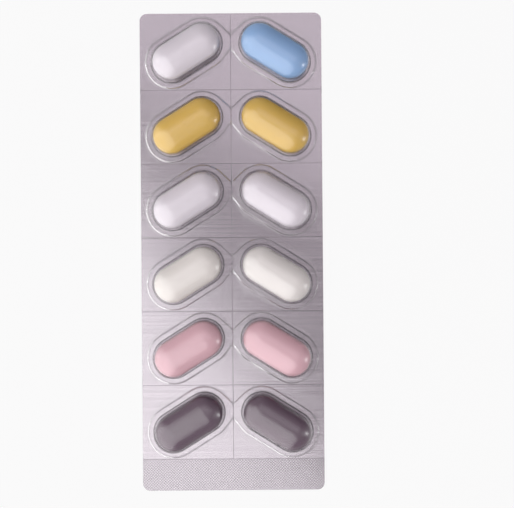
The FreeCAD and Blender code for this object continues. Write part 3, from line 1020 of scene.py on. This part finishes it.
@dataclass
class Studio:
    """The floor, the lamps, the surroundings and the camera."""

    camera_height: float = 0.375
    view_width: float = 0.14275
    sensor_width: float = 36.0
    clip: Pair = (0.01, 20.0)
    aim: Pair = (0.0069, -0.0007)
    roll: float = 0.45
    floor_height: float = -0.0001
    floor_reach: Pair = (0.05, 2.0)
    floor_grid: tuple[int, int] = (24, 64)
    floor_tones: tuple[Colour, Colour] = ((0.60, 0.60, 0.60), (0.64, 0.64, 0.64))
    floor_glow: float = 0.9
    overhead: float = 1.06
    sides: float = 0.06
    mirrored_overhead: float = 0.32
    mirrored_sides: float = 0.42
    overhead_rise: Pair = (0.55, 0.98)
    horizon: Pair = (0.0, 0.08)
    shaded_side: Pair = (0.6, 0.8)
    shade_rise: Pair = (0.1, 0.7)
    mirrored_shade_rise: Pair = (0.6, 0.95)
    mirrored_shade: float = 0.85
    room_tint: Colour = (1.0, 0.91, 0.985)

    def build_floor(self) -> None:
        """Make the pale round floor just under the pack, clear from below so that the foil shows there.

        It glows for the camera and in reflections, and is matt paper for all other light.
        """
        rings, around = self.floor_grid
        radius = np.concatenate(([0.0], np.linspace(*self.floor_reach, rings)))
        angle = np.linspace(0, 2 * math.pi, around, endpoint=False)
        plan = radius[:, None, None] * np.stack((np.cos(angle), np.sin(angle)), axis=1)[None]
        grid = np.concatenate((plan, np.full(plan.shape[:2] + (1,), self.floor_height)), axis=2) / MM
        shell = PieceMesh()
        shell.add_rings(grid, False)
        floor = shell.to_object("floor", weld=0.01)
        floor.data.flip_normals()
        material, place = new_material("pale_floor")
        paper = place.node("TexNoise", {"Vector": place, "Scale": 40.0, "Detail": 3.0})
        looks = {"Base Color": paper.blend(*self.floor_tones), "Roughness": 0.9, "Specular IOR Level": 0.1}
        matt = place.node("BsdfPrincipled", looks)
        glow = place.node("Emission", {"Color": rgba(PURE_WHITE), "Strength": 1.0})
        seen, mirrored, through = ray_kinds(place)
        share = (seen + mirrored + through).clamped() * self.floor_glow
        lit = place.node("MixShader", {0: share, 1: matt, 2: glow})
        below = place.node("NewGeometry", {}, output="Backfacing")
        open_air = place.node("BsdfTransparent", {})
        finish_material(place.node("MixShader", {0: below, 1: lit, 2: open_air}))
        floor.data.materials.append(material)

    def build_surroundings(self) -> None:
        """Make the world: white behind everything, and a room for light and reflections.

        The room's level rises from the sides to overhead, and differs for light and for mirror images. It
        falls off towards one side, for mirror images only low down there.
        """
        world = bpy.data.worlds.new("studio_room")
        world.use_nodes = True
        tree = world.node_tree
        tree.nodes.clear()
        place = Wire(tree, tree.nodes.new("ShaderNodeTexCoord").outputs["Generated"])
        seen, mirrored, through = ray_kinds(place)
        east, north, height = (place.node("SeparateXYZ", {0: place}, output=axis) for axis in range(3))
        low = 1.0 - height.band(*self.horizon)
        white = (seen + (mirrored + through) * low).clamped()
        dim = self.sides + (self.mirrored_sides - self.sides) * mirrored
        top = self.overhead + (self.mirrored_overhead - self.overhead) * mirrored
        toward = east * self.shaded_side[0] + north * self.shaded_side[1]
        shaded = toward.band(*self.shade_rise) * (1.0 - mirrored)
        shaded = shaded + toward.band(*self.mirrored_shade_rise) * mirrored * self.mirrored_shade
        room = (dim + (top - dim) * height.band(*self.overhead_rise)) * (1.0 - shaded)
        strength = room + (1.0 - room) * white
        tint = white.blend(self.room_tint, PURE_WHITE)
        finish_material(place.node("Background", {"Color": tint, "Strength": strength}))
        bpy.context.scene.world = world

    def build_lamps(self) -> None:
        """Make the lamps.

        The key is large and soft, on the left towards the foot. The low strip beyond it draws the bright
        arcs on the collars. The side strip lights the left edge, the foil mirrors the head panel, and the
        spark puts a small highlight on each capsule.
        """
        boxes = (
            SoftBox("key", (-0.546, -0.397, 0.737), (1.6, 1.6), 1.1),
            SoftBox("low_strip", (-0.76, -0.57, 0.085), (2.0, 0.12), 3.8),
            SoftBox("side_strip", (-0.88, 0.28, 0.38), (0.5, 0.9), 0.7),
            SoftBox("head_panel", (0.14, 0.25, 1.02), (0.8, 0.4), 0.52, (1.0, 0.93, 0.99)),
            SoftBox("spark", (0.55, -0.12, 0.42), (0.12, 0.12), 6.0),
        )
        for box in boxes:
            box.build()

    def build_camera(self) -> None:
        """Make the camera, which looks straight down on the lying pack with its head at the top."""
        camera = bpy.data.cameras.new("camera")
        camera.sensor_width = self.sensor_width
        camera.lens = self.sensor_width * self.camera_height / self.view_width
        camera.clip_start, camera.clip_end = self.clip
        holder = bpy.data.objects.new("camera", camera)
        holder.location = (*self.aim, self.camera_height)
        holder.rotation_euler = Euler((0.0, 0.0, math.radians(-self.roll)))
        bpy.context.scene.collection.objects.link(holder)
        bpy.context.scene.camera = holder

    def build(self) -> None:
        """Make the whole studio."""
        self.build_floor()
        self.build_surroundings()
        self.build_lamps()
        self.build_camera()
        bpy.context.scene.view_settings.view_transform = "Standard"


@dataclass
class BlisterPack:
    """The whole pack: film, foil and twelve capsules."""

    plan: PackPlan
    capsule_colours: tuple[tuple[GelColour, GelColour], ...] = (
        (GelColour.LILAC, GelColour.BLUE),
        (GelColour.YELLOW, GelColour.YELLOW),
        (GelColour.LILAC, GelColour.LILAC),
        (GelColour.IVORY, GelColour.WHITE),
        (GelColour.PINK, GelColour.PINK),
        (GelColour.CHARCOAL, GelColour.CHARCOAL),
    )

    def build_film(self) -> bpy.types.Object:
        """Build and dress the film, which stands for the CAD film."""
        film = BlisterFilm(self.plan).build()
        film.data.materials.append(ClearFilm().material())
        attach(film, "root")
        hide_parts("blister_film")
        return film

    def dress_foil(self) -> bpy.types.Object:
        """Give the foil's own solid its finish."""
        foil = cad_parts["lidding_foil"]
        material = LiddingFoil().material()
        if foil.data.materials:
            for slot in foil.material_slots:
                slot.material = material
        else:
            foil.data.materials.append(material)
        return foil

    def build_capsules(self) -> list[bpy.types.Object]:
        """Build and dress the capsules, row by row, left before right."""
        finishes = {colour: GelFinish.of(colour).material() for colour in GelColour}
        pieces = []
        for row, pair in enumerate(self.capsule_colours, start=1):
            for side, colour in zip(("left", "right"), pair):
                name = f"capsule_row{row}_{side}"
                capsule = Capsule(name).build()
                capsule.data.materials.append(finishes[colour])
                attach(capsule, "root")
                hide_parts(name)
                pieces.append(capsule)
        return pieces

    def build(self) -> list[bpy.types.Object]:
        """Build the whole pack."""
        return [self.build_film(), self.dress_foil(), *self.build_capsules()]


def main() -> None:
    """Build the pack and the studio, and report each piece."""
    logging.basicConfig(level=logging.INFO, format="%(message)s")
    plan = PackPlan.from_frame()
    for piece in BlisterPack(plan).build():
        mesh = piece.data
        LOG.info("%s: %d vertices, %d faces", piece.name, len(mesh.vertices), len(mesh.polygons))
    Studio().build()


if __name__ == "__main__":
    main()
